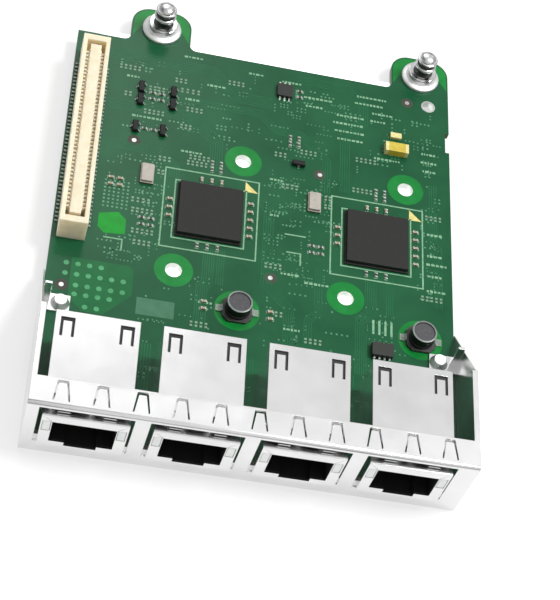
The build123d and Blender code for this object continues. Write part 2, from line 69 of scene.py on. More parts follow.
def finish(name, dark, light, grain, rough, relief=0.0, **sockets):
    """A procedural finish: two tones mixed by a noise of that grain, with uneven gloss and fine relief."""
    made = bpy.data.materials.new(name)
    made.use_nodes = True
    nodes, links = made.node_tree.nodes, made.node_tree.links
    shader = nodes["Principled BSDF"]
    place = nodes.new("ShaderNodeTexCoord")
    cloud = nodes.new("ShaderNodeTexNoise")
    cloud.inputs["Scale"].default_value = 1 / (grain * MM)
    cloud.inputs["Detail"].default_value = noise_detail
    links.new(place.outputs["Object"], cloud.inputs["Vector"])
    tones = nodes.new("ShaderNodeValToRGB")
    dark_end, light_end = tones.color_ramp.elements
    dark_end.position, dark_end.color = dark_share, dark
    light_end.position, light_end.color = light_share, light
    links.new(cloud.outputs["Fac"], tones.inputs["Fac"])
    links.new(tones.outputs["Color"], shader.inputs["Base Color"])
    gloss = nodes.new("ShaderNodeMapRange")
    gloss.inputs["To Min"].default_value = rough[0]
    gloss.inputs["To Max"].default_value = rough[1]
    links.new(cloud.outputs["Fac"], gloss.inputs["Value"])
    links.new(gloss.outputs["Result"], shader.inputs["Roughness"])
    if relief:
        bump = nodes.new("ShaderNodeBump")
        bump.inputs["Distance"].default_value = relief * MM
        links.new(cloud.outputs["Fac"], bump.inputs["Height"])
        links.new(bump.outputs["Normal"], shader.inputs["Normal"])
    for socket, value in sockets.items():
        shader.inputs[socket.replace("_", " ")].default_value = value
    return made


def overpaint(material, share, colour):
    """Paints a second colour over a finish where a node's output says so."""
    nodes, links = material.node_tree.nodes, material.node_tree.links
    shader = nodes["Principled BSDF"]
    tone = shader.inputs["Base Color"].links[0].from_socket
    blend = nodes.new("ShaderNodeMix")
    blend.data_type = "RGBA"
    blend.inputs["B"].default_value = colour
    links.new(share, blend.inputs["Factor"])
    links.new(tone, blend.inputs["A"])
    links.new(blend.outputs["Result"], shader.inputs["Base Color"])
    return material


def edged(material, colour):
    """Gives the upright faces of a plate a colour of their own, as a cut edge has."""
    nodes, links = material.node_tree.nodes, material.node_tree.links
    surface = nodes.new("ShaderNodeNewGeometry")
    parts = nodes.new("ShaderNodeSeparateXYZ")
    links.new(surface.outputs["Normal"], parts.inputs["Vector"])
    upright = nodes.new("ShaderNodeMath")
    upright.operation = "COMPARE"
    upright.inputs[1].default_value = 0.0
    upright.inputs[2].default_value = upright_limit
    links.new(parts.outputs["Z"], upright.inputs[0])
    return overpaint(material, upright.outputs["Value"], colour)


def dress(node, material, edge=0.0):
    """Gives a solid its finish and, where asked, softly broken edges of that width."""
    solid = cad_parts[node]
    solid.material_slots[0].material = material
    if edge:
        weld = solid.modifiers.new("weld", "WELD")
        weld.merge_threshold = weld_gap * MM
        broken = solid.modifiers.new("broken_edge", "BEVEL")
        broken.width = edge * MM
        broken.segments = 2
        broken.limit_method = "ANGLE"
        broken.angle_limit = math.radians(broken_angle)


mask = finish("solder_mask", tint(17, 73, 44), tint(26, 86, 54), 11.0, (0.19, 0.27), 0.002,
              Specular_IOR_Level=0.2)
dress("circuit_board", edged(mask, tint(62, 70, 40)), edge=0.05)

# Copper tracks: ribbons etched from the copper foil, which run in bundles under the mask on both sides.
# They lift the mask a little, and over copper it looks a lighter green than over bare laminate.
track_green = finish("mask_over_tracks", tint(24, 88, 55), tint(35, 101, 65), 3.0, (0.19, 0.27),
                     Specular_IOR_Level=0.2)
track_width = 0.2
hole_margin = 2.6
sink_holes = [(37.9, 73.65), (25.1, 42.85), (73.5, 73.65), (60.7, 42.85)]
track_lift = 0.025
sink_in = 0.01
mitre_limit = 0.5
crease_angle = 35
board_width = (board_high.x - board_low.x) / MM


def spot(x, y):
    """A place on the board in millimetres from its left edge and from the bracket's front face."""
    return Vector((left_edge + x * MM, face + y * MM))


def card_place(corner):
    """The way back: a corner of a box in millimetres from the left edge and the bracket's front face."""
    return (corner.x - left_edge) / MM, (corner.y - face) / MM


def prism(mesh, outer, inner, low, high):
    """Adds a closed flat plate between two heights, with an inner outline of as many points cut out."""
    rings = []
    for outline in (outer, inner):
        if outline:
            rings.append([[mesh.verts.new((p.x, p.y, z)) for p in outline] for z in (low, high)])
    bottom, top = rings[0]
    count = len(outer)
    for i in range(count):
        j = (i + 1) % count
        mesh.faces.new((bottom[i], bottom[j], top[j], top[i]))
        if inner:
            hole_bottom, hole_top = rings[1]
            mesh.faces.new((hole_bottom[j], hole_bottom[i], hole_top[i], hole_top[j]))
            mesh.faces.new((top[i], top[j], hole_top[j], hole_top[i]))
            mesh.faces.new((bottom[j], bottom[i], hole_bottom[i], hole_bottom[j]))
    if not inner:
        mesh.faces.new(top)
        mesh.faces.new(list(reversed(bottom)))


def piece(name, mesh, materials, body="card", smooth=False):
    """Turns a finished mesh into a piece that rides on a body."""
    bmesh.ops.recalc_face_normals(mesh, faces=mesh.faces)
    data = bpy.data.meshes.new(name)
    mesh.to_mesh(data)
    mesh.free()
    made = bpy.data.objects.new(name, data)
    bpy.context.scene.collection.objects.link(made)
    for material in materials:
        data.materials.append(material)
    if smooth:
        data.shade_smooth()
        data.set_sharp_from_angle(angle=math.radians(crease_angle))
    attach(made, body)
    return made


def flat_piece(name, plates, material, lift, under=False):
    """One piece of many flat plates on the board's top or underside, each one outline or a pair."""
    mesh = bmesh.new()
    if under:
        low, high = belly - lift * MM, belly + sink_in * MM
    else:
        low, high = deck - sink_in * MM, deck + lift * MM
    for plate in plates:
        outer, inner = plate if isinstance(plate, tuple) else (plate, None)
        prism(mesh, outer, inner, low, high)
    return piece(name, mesh, [material])


def ribbon(points, width):
    """The outline of a strip of that width along a run of points, with mitred corners."""
    run = [spot(*p) for p in points]
    sides = ([], [])
    for i, here in enumerate(run):
        before = (here - run[i - 1]).normalized() if i else None
        after = (run[i + 1] - here).normalized() if i + 1 < len(run) else None
        before = before or after
        after = after or before
        across = Vector((-(before.y + after.y), before.x + after.x)).normalized()
        reach = width / 2 * MM / max(mitre_limit, across.dot(Vector((-before.y, before.x))))
        sides[0].append(here + across * reach)
        sides[1].append(here - across * reach)
    return sides[0] + sides[1][::-1]


def bundle(points, count, pitch):
    """Side-by-side tracks along one route."""
    tracks = []
    half = len(points)
    for i in range(count):
        shift = (i - (count - 1) / 2) * pitch
        line = [spot(*p) for p in points]
        if shift:
            outline = ribbon(points, 2 * abs(shift))
            line = outline[:half] if shift > 0 else outline[half:][::-1]
        tracks.append(ribbon([card_place(p) for p in line], track_width))
    return tracks


def misses_holes(track):
    """Whether a track keeps its distance from every heat-sink hole."""
    for x, y in sink_holes:
        hole = spot(x, y)
        for start, end in zip(track, track[1:] + track[:1]):
            share = intersect_point_line(hole, start, end)[1]
            near = start.lerp(end, min(1.0, max(0.0, share)))
            if (near - hole).length < hole_margin * MM:
                return False
    return True


def lay_tracks(name, routes, under=False):
    """One piece of the tracks along all routes, without those that would come too near a hole."""
    tracks = [track for route in routes for track in bundle(*route)]
    laid = [track for track in tracks if misses_holes(track)]
    flat_piece(name, laid, track_green, track_lift, under)


routes = [
    ([(8.3, 97.0), (30, 97.0), (36, 91), (43.5, 91)], 6, 0.55),
    ([(8.3, 83.2), (26, 83.2), (32, 77.2), (32, 69.5)], 6, 0.5),
    ([(8.3, 72.3), (20, 72.3), (23.5, 68.8), (23.5, 66)], 5, 0.5),
    ([(49, 99.2), (60, 99.2), (64, 95.2), (64, 90), (60, 86), (60, 70)], 5, 0.5),
    ([(27, 87.5), (41, 87.5), (45, 83.5), (50, 83.5), (56, 77.5), (56, 69)], 4, 0.55),
    ([(79.6, 76), (79.6, 60), (80.6, 59), (80.6, 44)], 4, 0.5),
    ([(31, 26), (31, 40), (32, 41), (32, 49.5)], 6, 0.45),
    ([(34.5, 41), (34.5, 49.5)], 4, 0.45),
    ([(49, 24), (49, 38), (44, 43), (44, 62), (42, 64)], 5, 0.5),
    ([(64, 25), (64, 38), (66, 40), (66, 49.5)], 6, 0.45),
    ([(70, 39.5), (70, 49.5)], 4, 0.45),
    ([(53, 27), (53, 36), (55, 38), (55, 49)], 4, 0.5),
]
socket_gaps = (20.55, 40.87, 61.19)
gap_routes = [([(gap, 24.5), (gap, 8.5)], 6, 0.55) for gap in socket_gaps]
under_routes = [([(board_width - x, y) for x, y in points], count, pitch)
                for points, count, pitch in routes]
lay_tracks("copper_tracks", routes + gap_routes)
lay_tracks("underside_tracks", under_routes, under=True)

# Clear areas: the foil is etched away round the heat-sink holes, in the ears and under the inductors.
# There the mask lies on bare laminate and looks a bright, yellowish green. In the ears this bright green
# covers only a crescent behind the bushing, partly a painted highlight where the ear is lit.
clear_green = finish("mask_on_bare_laminate", tint(12, 110, 43), tint(23, 126, 55), 4.0, (0.19, 0.27),
                     Specular_IOR_Level=0.2)
window_green = finish("mask_on_clear_window", tint(4, 128, 31), tint(9, 143, 40), 2.0, (0.2, 0.28),
                      Specular_IOR_Level=0.2)
clear_lift = 0.012
sink_edge, sink_clear, coil_clear = 1.72, 4.0, 4.7
ear_side, ear_back, ear_round, ear_tail, ear_clear = 6.25, 5.35, 3.85, 2.6, 4.3
hands = ("left", "right")


def middle_of(node):
    """The middle of a node's box, as a place on the board."""
    low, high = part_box(node)
    return card_place((low + high) / 2)


def circle(x, y, radius, count=40):
    """A round outline about a place on the board."""
    middle = spot(x, y)
    turns = [2 * math.pi * i / count for i in range(count)]
    return [middle + Vector((math.cos(t), math.sin(t))) * radius * MM for t in turns]


def arc(radius, start, end, steps):
    """Points of a round stretch about its own middle, between two angles in half turns."""
    turns = [math.pi * (start + (end - start) * i / steps) for i in range(steps + 1)]
    return [(radius * math.cos(t), radius * math.sin(t)) for t in turns]


screw_places = [middle_of(f"captive_screw_{name}") for name in hands]
coil_places = [middle_of(f"inductor_base_{name}") for name in hands]
clear_areas = [(circle(x, y, sink_clear), circle(x, y, sink_edge)) for x, y in sink_holes]
# In each ear the bright green is a crescent round the rear of the bushing only. It is partly clear area and
# partly a painted highlight on the lit rear, and the shaded front is left as plain mask.
right_turn = [(ear_side - ear_round + across, ear_back - ear_round + back)
              for across, back in arc(ear_round, 0.0, 0.5, 8)]
left_turn = [(-across, back) for across, back in reversed(right_turn)]
ear_lit_crescent = [(ear_side, -ear_tail), *right_turn, *left_turn, (-ear_side, -ear_tail)]
ear_lit_crescent += arc(ear_clear, 0.95, 0.05, 24)
clear_areas += [[spot(x + across, y + back) for across, back in ear_lit_crescent] for x, y in screw_places]
clear_areas += [circle(x, y, coil_clear) for x, y in coil_places]
flat_piece("clear_areas", clear_areas, clear_green, clear_lift)
window_corners = [(9.0, 53.9), (12.9, 54.9), (14.6, 53.2), (14.6, 49.6), (10.4, 49.2), (9.0, 50.6)]
flat_piece("clear_window", [[spot(*p) for p in window_corners]], window_green, clear_lift)
sink_rings = clear_areas[:len(sink_holes)]
flat_piece("underside_clear_rings", sink_rings, clear_green, clear_lift, under=True)

# Tooling rim, hole walls and fiducials: tinned copper at the holes, and dots for the placing machine.
# The holes are plated through. Each dot lies in a brown window of the mask, so that a camera finds it.
tinned = finish("tinned_copper", tint(186, 188, 184), tint(214, 216, 212), 0.8, (0.26, 0.38),
                Metallic=1.0)
window_brown = finish("bare_laminate_window", tint(38, 41, 29), tint(54, 54, 40), 0.8, (0.5, 0.65))
tooling_hole = (78.9, 98.3)
fiducials = [(74.0, 98.3), (14.5, 74.2), (3.3, 35.1), (44.9, 44.8), (54.6, 73.6)]
rim_lift = 0.03
plating = 0.03
tooling_radius, sink_radius = 1.3, 1.7
rim_inner, rim_outer = 1.32, 1.6
dot_radius, window_radius, dot_points = 0.5, 1.35, 20
rims = [(circle(*tooling_hole, rim_outer), circle(*tooling_hole, rim_inner))]
rims += [circle(x, y, dot_radius, dot_points) for x, y in fiducials]
flat_piece("tooling_rim_and_fiducials", rims, tinned, rim_lift)
barrels = bmesh.new()
for x, y, radius in [(*tooling_hole, tooling_radius)] + [(*place, sink_radius) for place in sink_holes]:
    wall = (circle(x, y, radius + plating), circle(x, y, radius - plating))
    prism(barrels, *wall, belly + sink_in * MM, deck - sink_in * MM)
piece("plated_hole_walls", barrels, [tinned], smooth=True)
windows = [(circle(x, y, window_radius, dot_points), circle(x, y, dot_radius, dot_points))
           for x, y in fiducials]
flat_piece("fiducial_windows", windows, window_brown, clear_lift)

# Vias and test pads: plated holes that join the layers, closed by the mask, and round pads in a grid.
# The vias stand where the layout left room, the same on both sides, and the pads lie by the left edge.
via_green = finish("mask_over_vias", tint(58, 118, 84), tint(84, 142, 106), 1.2, (0.2, 0.3))
pad_green = finish("mask_over_pads", tint(42, 132, 78), tint(60, 150, 95), 1.2, (0.2, 0.3))
field_green = finish("mask_on_pad_field", tint(14, 88, 46), tint(21, 99, 54), 5.0, (0.19, 0.27),
                     Specular_IOR_Level=0.2)
layout_seed = 41
strew = random.Random(layout_seed)
via_fields = [
    (9, 76, 42, 98, 44), (9, 43, 22, 72, 64), (42.5, 44, 57, 72, 90), (42.5, 75, 60, 98, 40),
    (60, 75, 80, 96, 36), (76, 44, 81, 72, 44), (17, 24, 60, 42, 60), (62, 24, 74, 42, 20),
    (19.2, 9, 21.6, 20, 5), (39.5, 9, 41.9, 20, 5), (59.8, 9, 62.2, 20, 5),
]
via_groups = [(1, 1), (2, 1), (3, 1), (1, 2), (1, 3), (2, 2), (4, 1), (5, 1), (3, 2)]
free_fields = [(8.7, 48.9, 14.9, 63.4), (4.4, 29.0, 17.6, 42.4), (18.0, 30.7, 26.2, 35.3)]
via_pitches = (0.75, 0.9, 1.1)
via_radii = (0.15, 0.19, 0.23)
via_points = 10
edge_free, sink_free, dot_free, coil_free, tooling_free = 2.0, 4.5, 1.8, 5.1, 2.2
free_circles = [(x, y, sink_free) for x, y in sink_holes]
free_circles += [(x, y, dot_free) for x, y in fiducials]
free_circles += [(x, y, coil_free) for x, y in coil_places]
free_circles.append((*tooling_hole, tooling_free))


def open_board(x, y):
    """Whether a via may stand at a place, off the fields that the layout keeps free."""
    if x > board_width - edge_free:
        return False
    if any(x0 < x < x1 and y0 < y < y1 for x0, y0, x1, y1 in free_fields):
        return False
    return all(math.hypot(x - cx, y - cy) > radius for cx, cy, radius in free_circles)


vias = []
for x0, y0, x1, y1, count in via_fields:
    for _ in range(count):
        x = strew.uniform(x0, x1)
        y = strew.uniform(y0, y1)
        columns, rows = strew.choice(via_groups)
        pitch = strew.choice(via_pitches)
        radius = strew.choice(via_radii)
        group = [(x + i * pitch, y + j * pitch) for i in range(columns) for j in range(rows)]
        vias += [circle(*place, radius, via_points) for place in group if open_board(*place)]
flat_piece("vias", vias, via_green, track_lift)
flat_piece("underside_vias", vias, via_green, track_lift, under=True)
pad_pitch, pad_radius, pad_points = 2.32, 0.55, 16
pad_rows = [(3.76, 40.5, 4), (3.74, 38.0, 6), (6.09, 35.4, 5), (6.02, 33.3, 4), (8.36, 30.6, 2)]
pads = [circle(x + i * pad_pitch, y, pad_radius, pad_points)
        for x, y, count in pad_rows for i in range(count)]
flat_piece("test_pads", pads, pad_green, track_lift)
fine_columns, fine_rows, fine_pitch, fine_radius = 6, 8, 0.95, 0.24
fine_left, fine_front = 9.6, 56.0
fine_pads = [circle(fine_left + i * fine_pitch, fine_front + j * fine_pitch, fine_radius, via_points)
             for i in range(fine_columns) for j in range(fine_rows)]
flat_piece("fine_test_pads", fine_pads, via_green, track_lift)
pad_field = [(4.8, 42.0), (16.4, 42.0), (17.2, 41.0), (17.2, 35.0), (12.0, 29.6), (7.8, 29.6),
             (4.8, 32.6)]
flat_piece("pad_field", [[spot(*p) for p in pad_field]], field_green, clear_lift)

# Printed marks: screen-printed frames of pale ink round the chips, corner ticks and short bars.
# The bars stand where such a card has reference print, and say nothing. Each chip has one gold corner.
ink = finish("printed_ink", tint(98, 148, 112), tint(132, 174, 140), 0.8, (0.55, 0.75))
gold_foil = finish("gold_foil", tint(190, 176, 96), tint(222, 210, 138), 0.8, (0.4, 0.55))
plane_green = finish("mask_over_plane", tint(36, 96, 66), tint(45, 106, 76), 2.0, (0.2, 0.3))
ink_lift = 0.035
ink_width = 0.3
close_frame = (0.6, 0.5, 0.6, 0.6)
wide_frame = (2.9, 3.0, 3.2, 3.4)
gold_corner = [(0.3, 3.1), (0.3, 0.5), (3.0, 0.5)]
lead_bar_left, lead_bar_front, lead_bar_rear = 66.6, 35.2, 38.6
lead_bar_pitch, lead_bar_width, lead_bar_count = 1.27, 0.45, 4
bar_lengths, bar_widths, bar_gap = (0.3, 0.8), (0.4, 0.6), 0.25
plane_corners = (18.3, 31.0, 25.9, 35.0)
marks = []
corners = []


def rectangle(x0, y0, x1, y1):
    """A four-cornered outline on the board."""
    return [spot(x0, y0), spot(x1, y0), spot(x1, y1), spot(x0, y1)]


def ink_frame(x0, y0, x1, y1):
    """Four bars round a rectangle, as one plate with a window."""
    half = ink_width / 2
    return (rectangle(x0 - half, y0 - half, x1 + half, y1 + half),
            rectangle(x0 + half, y0 + half, x1 - half, y1 - half))


for name in hands:
    low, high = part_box(f"controller_chip_{name}")
    x0, y0 = card_place(low)
    x1, y1 = card_place(high)
    for left, front, right, rear in (close_frame, wide_frame):
        marks.append(ink_frame(x0 - left, y0 - front, x1 + right, y1 + rear))
    corners.append([spot(x1 + across, y1 + back) for across, back in gold_corner])
ticks = [
    [(10.4, 48.2), (14.2, 48.2), (14.2, 45.6)],
    [(47.5, 56.5), (52.0, 56.5)],
    [(48, 52), (51, 52), (51, 49)],
]
marks += [ribbon(points, ink_width) for points in ticks]
for i in range(lead_bar_count):
    x = lead_bar_left + lead_bar_pitch * i
    marks.append(ribbon([(x, lead_bar_front), (x, lead_bar_rear)], lead_bar_width))
print_rows = [
    (45.5, 97.9, 6), (38.0, 98.5, 4), (50.5, 94.6, 7), (51.0, 92.2, 5), (58.0, 91.2, 8), (57.2, 89.0, 9),
    (57.6, 86.8, 8), (58.2, 84.6, 7), (66.0, 93.4, 6), (65.6, 91.2, 5), (66.5, 80.9, 8), (77.2, 84.4, 5),
    (77.0, 82.0, 5), (77.4, 79.6, 4), (43.8, 70.2, 4), (44.2, 60.8, 3), (24.5, 73.6, 6), (23.5, 100.0, 5),
    (78.2, 62.6, 4), (78.2, 57.0, 4), (78.0, 54.8, 5), (78.2, 51.8, 4), (78.0, 48.0, 5), (47.0, 46.4, 5),
    (52.0, 45.0, 6), (30.5, 36.2, 4), (32.5, 27.0, 5), (48.0, 33.0, 5), (11.5, 91.6, 4), (13.5, 80.9, 8),
    (24.5, 88.0, 4), (62.5, 97.6, 9), (62.0, 95.6, 8), (29.0, 93.0, 5),
]
for x, y, count in print_rows:
    reach = 0.0
    for _ in range(count):
        length = strew.uniform(*bar_lengths)
        marks.append(ribbon([(x + reach, y), (x + reach + length, y)], strew.uniform(*bar_widths)))
        reach += length + bar_gap
flat_piece("printed_marks", marks, ink, ink_lift)
flat_piece("corner_triangles", corners, gold_foil, ink_lift)
covered_plane = [rectangle(*plane_corners)]
flat_piece("covered_copper_plane", covered_plane, plane_green, clear_lift)

# Controller chips: square caps of black resin moulded on a thin laminate, soldered by hidden balls.
# The cap is matt with a fine grain, and the laminate shows as a darker rim below it.
chip_resin = finish("moulded_package", tint(24, 25, 23), tint(32, 32, 30), 0.3, (0.42, 0.52), 0.003,
                    Specular_IOR_Level=0.25)
chip_rim = 0.4


def banded(material, height, colour):
    """Gives what lies below a height above the board another colour."""
    nodes, links = material.node_tree.nodes, material.node_tree.links
    place = nodes.new("ShaderNodeTexCoord")
    parts = nodes.new("ShaderNodeSeparateXYZ")
    links.new(place.outputs["Object"], parts.inputs["Vector"])
    below = nodes.new("ShaderNodeMath")
    below.operation = "LESS_THAN"
    below.inputs[1].default_value = deck + height * MM
    links.new(parts.outputs["Z"], below.inputs[0])
    return overpaint(material, below.outputs["Value"], colour)


banded(chip_resin, chip_rim, tint(24, 26, 22))
for name in hands:
    dress(f"controller_chip_{name}", chip_resin, edge=0.08)

# Crystals: small ceramic boxes closed by a welded metal lid, one beside each controller chip.
# The lid is a warm grey with a soft shine, and the ceramic below it is brown.
lid_metal = finish("crystal_lid", tint(156, 151, 142), tint(170, 164, 156), 0.8, (0.4, 0.5),
                   Metallic=0.25)
lid_foot = 0.45
banded(lid_metal, lid_foot, tint(84, 78, 66))
for name in hands:
    dress(f"crystal_{name}", lid_metal, edge=0.1)

# Power inductors: black ferrite drums, wound at the waist and glued to a base. Their top is a lighter grey,
# a painted reflection, and the rim of the top a pale grey, a painted highlight.
# Tinned terminals are bent under the base and soldered to the board.
ferrite = finish("ferrite", tint(12, 13, 12), tint(20, 21, 20), 0.5, (0.34, 0.46), 0.003,
                 Specular_IOR_Level=0.25)
# Painted reflection: the top of the core is given a lighter grey than its ferrite sides.
painted_reflection_top = finish("core_top_painted_reflection", tint(50, 50, 55), tint(68, 68, 72), 0.6, (0.4, 0.52), 0.003)
# Painted highlight: the rounded rim of the top is given a pale grey, as if it caught the light.
painted_highlight_rim = finish("core_rim_painted_highlight", tint(104, 110, 106), tint(132, 138, 134), 0.5, (0.34, 0.46),
                   Metallic=0.3)
base_resin = finish("inductor_base_resin", tint(38, 40, 38), tint(52, 54, 51), 0.4, (0.42, 0.55), 0.003)
dull_tin = finish("dull_tin", tint(104, 118, 108), tint(136, 148, 138), 0.6, (0.36, 0.48), Metallic=0.6)
rim = 0.45
waist = 0.2


def lathe(mesh, middle, profile, count=72, finishes=None):
    """Adds a turned form about an upright axis from radius and height pairs in millimetres."""
    rings = []
    for radius, height in profile:
        turns = [2 * math.pi * i / count for i in range(count)] if radius else [0.0]
        ring = []
        for t in turns:
            x = middle.x + radius * math.cos(t) * MM
            y = middle.y + radius * math.sin(t) * MM
            ring.append(mesh.verts.new((x, y, height * MM)))
        rings.append(ring)
    for step, (ring, above) in enumerate(zip(rings, rings[1:])):
        for i in range(count):
            j = (i + 1) % count
            lower = [ring[k % len(ring)] for k in (i, j)]
            upper = [above[k % len(above)] for k in (j, i)]
            made = mesh.faces.new(list(dict.fromkeys(lower + upper)))
            made.material_index = finishes[step] if finishes else 0


for name in hands:
    dress(f"inductor_base_{name}", base_resin, edge=0.08)
    dress(f"inductor_terminals_{name}", dull_tin, edge=0.05)
    low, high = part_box(f"inductor_core_{name}")
    radius = (high.x - low.x) / 2 / MM
    foot, top = low.z / MM, high.z / MM
    drum_side = [(0, foot), (radius, foot), (radius, foot + 0.5), (radius - waist, foot + 0.65),
                 (radius - waist, top - 0.95), (radius, top - 0.8)]
    drum_rim = [(radius, top - 0.14), (radius - 0.04, top - 0.04), (radius - 0.14, top)]
    drum_top = [(radius - rim + 0.08, top), (radius - rim, top - 0.08), (radius - rim - 0.05, top - 0.26),
                (0, top - 0.3)]
    drum = bmesh.new()
    # The rim steps take the painted highlight, and the rest of the top takes the painted reflection.
    drum_finishes = [0] * len(drum_side) + [2] * len(drum_rim) + [1] * (len(drum_top) - 1)
    lathe(drum, (low + high) / 2, drum_side + drum_rim + drum_top, finishes=drum_finishes)
    core = piece(f"drum_core_{name}", drum, [ferrite, painted_reflection_top, painted_highlight_rim], smooth=True)
    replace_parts(core, f"inductor_core_{name}")

# Memory and regulator chips: small bodies of moulded resin on bent tinned leads, soldered to the board.
# The leads are stamped from one strip and cut to length after moulding.
package_resin = finish("small_package", tint(34, 37, 34), tint(45, 48, 45), 0.3, (0.45, 0.55), 0.003,
                       Specular_IOR_Level=0.3)
for name in ("memory", "regulator"):
    dress(f"{name}_chip", package_resin, edge=0.12)
    dress(f"{name}_leads", tinned, edge=0.04)

# Tantalum capacitor and bead: a yellow resin block moulded between two plated ends, and a pale bead.
# Both are soldered flat on the board near its right edge.
yellow_resin = finish("yellow_resin", tint(180, 158, 40), tint(198, 177, 57), 0.8, (0.4, 0.5), 0.003)
pale_plating = finish("pale_plating", tint(202, 192, 124), tint(218, 208, 148), 0.6, (0.4, 0.5))
dress("tantalum_body", yellow_resin, edge=0.12)
dress("tantalum_ends", pale_plating, edge=0.1)
dress("ferrite_bead", pale_plating, edge=0.1)

# Small parts: fired ceramic capacitors and glazed chip resistors, little blocks between tinned ends.
# They are placed by machine on printed solder, and their ends stand on tinned lands.
ceramic = finish("fired_ceramic", tint(142, 124, 98), tint(168, 148, 120), 0.4, (0.5, 0.6))
solder = finish("solder", tint(140, 152, 140), tint(172, 182, 170), 0.5, (0.3, 0.45), Metallic=0.6)
land_tin = finish("land_tin", tint(100, 128, 106), tint(126, 150, 128), 0.5, (0.4, 0.5), Metallic=0.4)
glaze = finish("resistor_glaze", tint(40, 42, 42), tint(56, 58, 58), 0.3, (0.35, 0.5))
end_share = 0.26
end_lap = 0.8
body_inset = 0.04
land_reach, land_side, land_free = 0.3, 0.06, 0.3
land_width, land_length, land_gap = 0.5, 0.45, 0.35
free_rows = [
    (23.4, 89.6, 4, 1.2), (24.9, 84.6, 4, 1.0), (23.9, 79.6, 3, 0.95), (22.0, 92.2, 3, 1.0),
    (15.6, 88.6, 5, 0.95), (15.9, 82.0, 5, 0.95), (11.4, 86.0, 2, 1.0), (26.0, 70.2, 8, 0.95),
    (26.4, 71.8, 6, 0.95), (20.0, 70.0, 3, 1.0), (20.0, 66.4, 2, 0.9), (15.2, 58.2, 4, 1.1),
    (15.4, 55.6, 5, 1.0), (15.8, 50.4, 5, 1.0), (16.4, 47.6, 4, 1.0), (55.75, 67.0, 2, 0.9),
    (55.75, 64.8, 2, 0.9), (46.4, 68.4, 4, 1.0), (44.6, 76.6, 5, 1.0), (50.2, 78.4, 4, 1.0),
    (61.8, 70.6, 8, 0.95), (77.9, 66.4, 4, 1.0), (76.8, 45.4, 5, 1.0), (43.6, 47.2, 4, 1.0),
    (29.2, 30.2, 4, 1.0), (52.4, 30.4, 4, 1.0), (44.2, 35.6, 4, 1.0), (9.8, 93.4, 5, 1.0),
    (33.6, 94.2, 4, 1.0), (62.4, 79.0, 5, 1.0),
]
soft_edge = 0.05


def solids_of(node):
    """The lowest and highest corners of each separate solid of a node, from left to right."""
    mesh = bmesh.new()
    mesh.from_mesh(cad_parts[node].data)
    bmesh.ops.remove_doubles(mesh, verts=mesh.verts, dist=weld_gap * MM)
    left = set(mesh.verts)
    boxes = []
    while left:
        group = [left.pop()]
        for vert in group:
            near = [edge.other_vert(vert) for edge in vert.link_edges]
            fresh = [other for other in near if other in left]
            left.difference_update(fresh)
            group.extend(fresh)
        low = Vector([min(vert.co[k] for vert in group) for k in range(3)])
        high = Vector([max(vert.co[k] for vert in group) for k in range(3)])
        boxes.append((low, high))
    mesh.free()
    return sorted(boxes, key=lambda box: tuple(round(v / MM, 2) for v in box[0]))


def blocks(name, boxes, material, edge=soft_edge):
    """One piece of many blocks with softly broken edges."""
    mesh = bmesh.new()
    for low, high in boxes:
        cube = bmesh.ops.create_cube(mesh, size=1.0)["verts"]
        for vert in cube:
            vert.co = Vector([low[k] if vert.co[k] < 0 else high[k] for k in range(3)])
        edges = {rib for vert in cube for rib in vert.link_edges}
        bmesh.ops.bevel(mesh, geom=list(edges), offset=edge * MM, segments=2, profile=0.5, affect="EDGES")
    return piece(name, mesh, [material], smooth=True)


def ended(node, material):
    """Replaces a node's little blocks by bodies between two ends, and gives the boxes of those ends."""
    bodies, ends = [], []
    for low, high in solids_of(node):
        along = 0 if high.x - low.x > high.y - low.y else 1
        cap = (high[along] - low[along]) * end_share
        inset = Vector([body_inset * MM] * 3)
        inset[along] = cap * end_lap
        bodies.append((low + inset, high - inset))
        for start in (low[along], high[along] - cap):
            end_low, end_high = low.copy(), high.copy()
            end_low[along] = start
            end_high[along] = start + cap
            ends.append((end_low, end_high))
    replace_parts(blocks(f"{node}_bodies", bodies, material), node)
    return ends


def too_near(part, left, front, right, rear):
    """Whether a pair of lands comes too near a part that stands on the board."""
    x0, y0, x1, y1 = part
    beside = left < x1 + land_free and right > x0 - land_free
    return beside and front < y1 + land_free and rear > y0 - land_free


tin_ends = ended("ceramic_capacitors", ceramic)
tin_ends += ended("chip_resistors", glaze)
blocks("tinned_ends", tin_ends, solder)
lands = []
for low, high in tin_ends:
    x0, y0 = card_place(low)
    x1, y1 = card_place(high)
    grow_x, grow_y = (land_reach, land_side) if x1 - x0 < y1 - y0 else (land_side, land_reach)
    lands.append(rectangle(x0 - grow_x, y0 - grow_y, x1 + grow_x, y1 + grow_y))
standing = tin_ends + solids_of("small_transistors")
taken = [(*card_place(low), *card_place(high)) for low, high in standing]
for x, y, count, pitch in free_rows:
    for i in range(count):
        left = x + i * pitch
        right = left + land_width
        rear = y + 2 * land_length + land_gap
        if any(too_near(part, left, y, right, rear) for part in taken):
            continue
        lands.append(rectangle(left, y, right, y + land_length))
        lands.append(rectangle(left, rear - land_length, right, rear))
flat_piece("solder_lands", lands, land_tin, rim_lift)
under_ends = ended("underside_capacitors", ceramic)
blocks("underside_tinned_ends", under_ends, tinned)

# Transistors: three-legged bodies of moulded resin with sloping sides, on bent tinned legs.
# Two legs stand on one side and one on the other, each soldered to its own land.
leg_width = 0.4
leg_sheet = 0.15
leg_reach = 0.5
leg_pitch = 1.9
draft = 0.14
body_foot, body_parting, body_top = 0.06, 0.5, 1.0
transistor_edge = 0.04
transistor_resin = finish("transistor_resin", tint(18, 21, 19), tint(28, 31, 29), 0.3, (0.45, 0.55), 0.003,
                          Specular_IOR_Level=0.25)
bodies = bmesh.new()
legs = bmesh.new()


